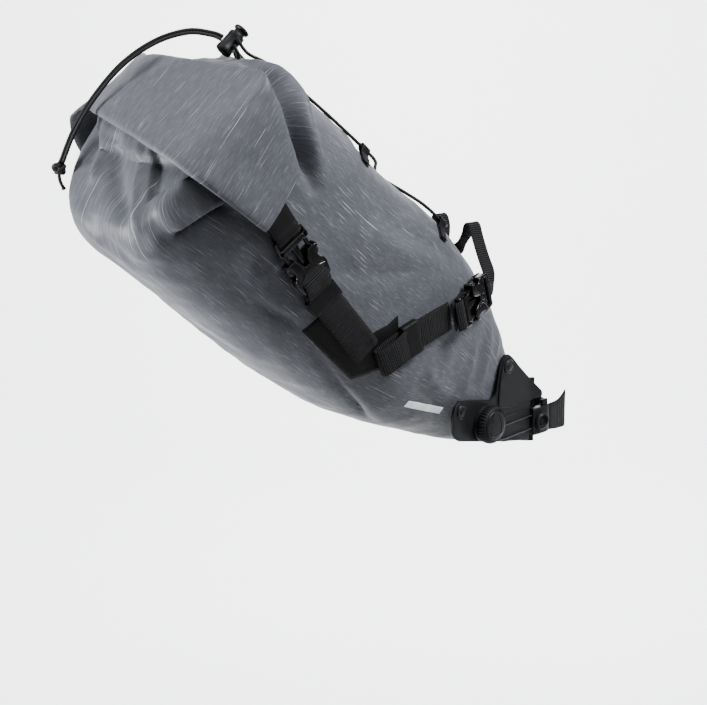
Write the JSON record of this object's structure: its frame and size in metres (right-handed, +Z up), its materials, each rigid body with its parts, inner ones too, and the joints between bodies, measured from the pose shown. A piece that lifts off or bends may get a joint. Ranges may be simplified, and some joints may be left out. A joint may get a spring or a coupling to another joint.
{
  "type": "saddle bag",
  "caption": "Roll-top bikepacking saddle bag that hangs behind a seatpost, with a dial-tightened post clamp, buckled side straps, saddle rail loops and an elastic cord on top.",
  "frame": {"origin": "on the seatpost's axis at the clamp's mid height", "axes": "+Z up along the seatpost, +X towards the bike's front, +Y towards the bike's left; the bag runs back along -X"},
  "size_m": [0.4538, 0.1987, 0.3781],
  "materials": {
    "coated_fabric": "satin coated fabric with fine lighter streaks",
    "plastic_sheet": "matte sheet",
    "moulded_plastic": "fine moulded texture",
    "soft_rubber": "matte",
    "black_webbing": "ribbed weave",
    "coated_tape": "smooth coated tape",
    "buckle_plastic": "satin moulded acetal",
    "shock_cord": "braided sheath",
    "rivet_metal": "black painted",
    "steel_lace": "bright wire"
  },
  "bodies": {
    "bag": {"bag_shell": "coated_fabric", "base_stiffener": "plastic_sheet", "bungee_cord": "shock_cord", "bungee_end": "shock_cord", "bungee_eye_left_front": "black_webbing", "bungee_eye_left_rear": "black_webbing", "bungee_eye_right_front": "black_webbing", "bungee_eye_right_rear": "black_webbing", "bungee_tail_inner": "shock_cord", "bungee_tail_outer": "shock_cord", "closure_keeper_left": "coated_tape", "closure_keeper_right": "coated_tape", "closure_left_female": "buckle_plastic", "closure_left_male": "buckle_plastic", "closure_right_female": "buckle_plastic", "closure_right_male": "buckle_plastic", "closure_strap_left": "black_webbing", "closure_strap_right": "black_webbing", "closure_tab_left": "black_webbing", "closure_tab_right": "black_webbing", "cord_lock_body": "moulded_plastic", "cord_lock_spring": "steel_lace", "dial_housing": "moulded_plastic", "grip_pad": "soft_rubber", "post_bracket": "moulded_plastic", "post_strap": "coated_tape", "rail_left_female": "buckle_plastic", "rail_left_male": "buckle_plastic", "rail_loop_left": "black_webbing", "rail_loop_right": "black_webbing", "rail_right_female": "buckle_plastic", "rail_right_male": "buckle_plastic", "rail_strap_left": "black_webbing", "rail_strap_right": "black_webbing", "rivet_left_lower": "rivet_metal", "rivet_left_upper": "rivet_metal", "rivet_right_lower": "rivet_metal", "rivet_right_upper": "rivet_metal", "roll_stiffener": "plastic_sheet", "roll_top": "coated_fabric", "side_patch_left": "coated_tape", "side_patch_right": "coated_tape", "tail_knot": "shock_cord", "tension_lace_lower": "steel_lace", "tension_lace_upper": "steel_lace"},
    "dial_core": {"dial_screw": "rivet_metal"},
    "dial": {"dial_knob": "soft_rubber", "dial_cap": "moulded_plastic"},
    "spool": {"lace_spool": "moulded_plastic"},
    "catch": {"strap_catch": "moulded_plastic", "pull_tab": "soft_rubber"},
    "plunger": {"cord_lock_plunger": "moulded_plastic"},
    "closure_right_prong_a_body": {"closure_right_prong_a": "buckle_plastic"},
    "closure_right_prong_b_body": {"closure_right_prong_b": "buckle_plastic"},
    "closure_left_prong_a_body": {"closure_left_prong_a": "buckle_plastic"},
    "closure_left_prong_b_body": {"closure_left_prong_b": "buckle_plastic"},
    "rail_right_prong_a_body": {"rail_right_prong_a": "buckle_plastic"},
    "rail_right_prong_b_body": {"rail_right_prong_b": "buckle_plastic"},
    "rail_left_prong_a_body": {"rail_left_prong_a": "buckle_plastic"},
    "rail_left_prong_b_body": {"rail_left_prong_b": "buckle_plastic"}
  },
  "joints": [
    {"name": "dial_pull", "type": "slide", "parent": "bag", "child": "dial_core", "axis": [0.2425, -0.9701, 0], "range_m": [0, 0.0025]},
    {"name": "dial_turn", "type": "hinge", "parent": "dial_core", "child": "dial", "pos_m": [-0.0772, -0.0407, 0.021], "axis": [0.2425, -0.9701, 0], "continuous": true},
    {"name": "spool_turn", "type": "hinge", "parent": "bag", "child": "spool", "pos_m": [-0.0772, -0.0407, 0.021], "axis": [0.2425, -0.9701, 0], "continuous": true},
    {"name": "catch_swing", "type": "hinge", "parent": "bag", "child": "catch", "pos_m": [0.0095, -0.0196, 0.007], "axis": [0, 0, 1], "range_deg": [0, 40]},
    {"name": "plunger_press", "type": "slide", "parent": "bag", "child": "plunger", "axis": [-0.7659, 0, -0.6429], "range_m": [0, 0.003], "stiffness_N_per_m": 400},
    {"name": "closure_right_squeeze_a", "type": "hinge", "parent": "bag", "child": "closure_right_prong_a_body", "pos_m": [-0.30829, -0.08691, 0.20247], "axis": [0.0501, -0.9984, -0.0247], "range_deg": [0, 6], "stiffness_Nm_per_rad": 0.5},
    {"name": "closure_right_squeeze_b", "type": "hinge", "parent": "bag", "child": "closure_right_prong_b_body", "pos_m": [-0.29, -0.08629, 0.21467], "axis": [0.0501, -0.9984, -0.0247], "range_deg": [-6, 0], "stiffness_Nm_per_rad": 0.5},
    {"name": "closure_left_squeeze_a", "type": "hinge", "parent": "bag", "child": "closure_left_prong_a_body", "pos_m": [-0.29, 0.08629, 0.21467], "axis": [0.0501, 0.9984, -0.0247], "range_deg": [0, 6], "stiffness_Nm_per_rad": 0.5},
    {"name": "closure_left_squeeze_b", "type": "hinge", "parent": "bag", "child": "closure_left_prong_b_body", "pos_m": [-0.30829, 0.08691, 0.20247], "axis": [0.0501, 0.9984, -0.0247], "range_deg": [-6, 0], "stiffness_Nm_per_rad": 0.5},
    {"name": "rail_right_squeeze_a", "type": "hinge", "parent": "bag", "child": "rail_right_prong_a_body", "pos_m": [-0.11364, -0.06324, 0.1207], "axis": [0.4275, -0.8995, 0.0903], "range_deg": [0, 6], "stiffness_Nm_per_rad": 0.5},
    {"name": "rail_right_squeeze_b", "type": "hinge", "parent": "bag", "child": "rail_right_prong_b_body", "pos_m": [-0.11914, -0.06371, 0.142], "axis": [0.4275, -0.8995, 0.0903], "range_deg": [-6, 0], "stiffness_Nm_per_rad": 0.5},
    {"name": "rail_left_squeeze_a", "type": "hinge", "parent": "bag", "child": "rail_left_prong_a_body", "pos_m": [-0.11914, 0.06368, 0.142], "axis": [0.4275, 0.8995, 0.0903], "range_deg": [0, 6], "stiffness_Nm_per_rad": 0.5},
    {"name": "rail_left_squeeze_b", "type": "hinge", "parent": "bag", "child": "rail_left_prong_b_body", "pos_m": [-0.11364, 0.0632, 0.1207], "axis": [0.4275, 0.8995, 0.0903], "range_deg": [-6, 0], "stiffness_Nm_per_rad": 0.5}
  ],
  "couplings": [
    {"joint": "spool_turn", "follows": "dial_turn", "ratio": 1},
    {"joint": "closure_right_squeeze_b", "follows": "closure_right_squeeze_a", "ratio": -1},
    {"joint": "closure_left_squeeze_b", "follows": "closure_left_squeeze_a", "ratio": -1},
    {"joint": "rail_right_squeeze_b", "follows": "rail_right_squeeze_a", "ratio": -1},
    {"joint": "rail_left_squeeze_b", "follows": "rail_left_squeeze_a", "ratio": -1}
  ]
}
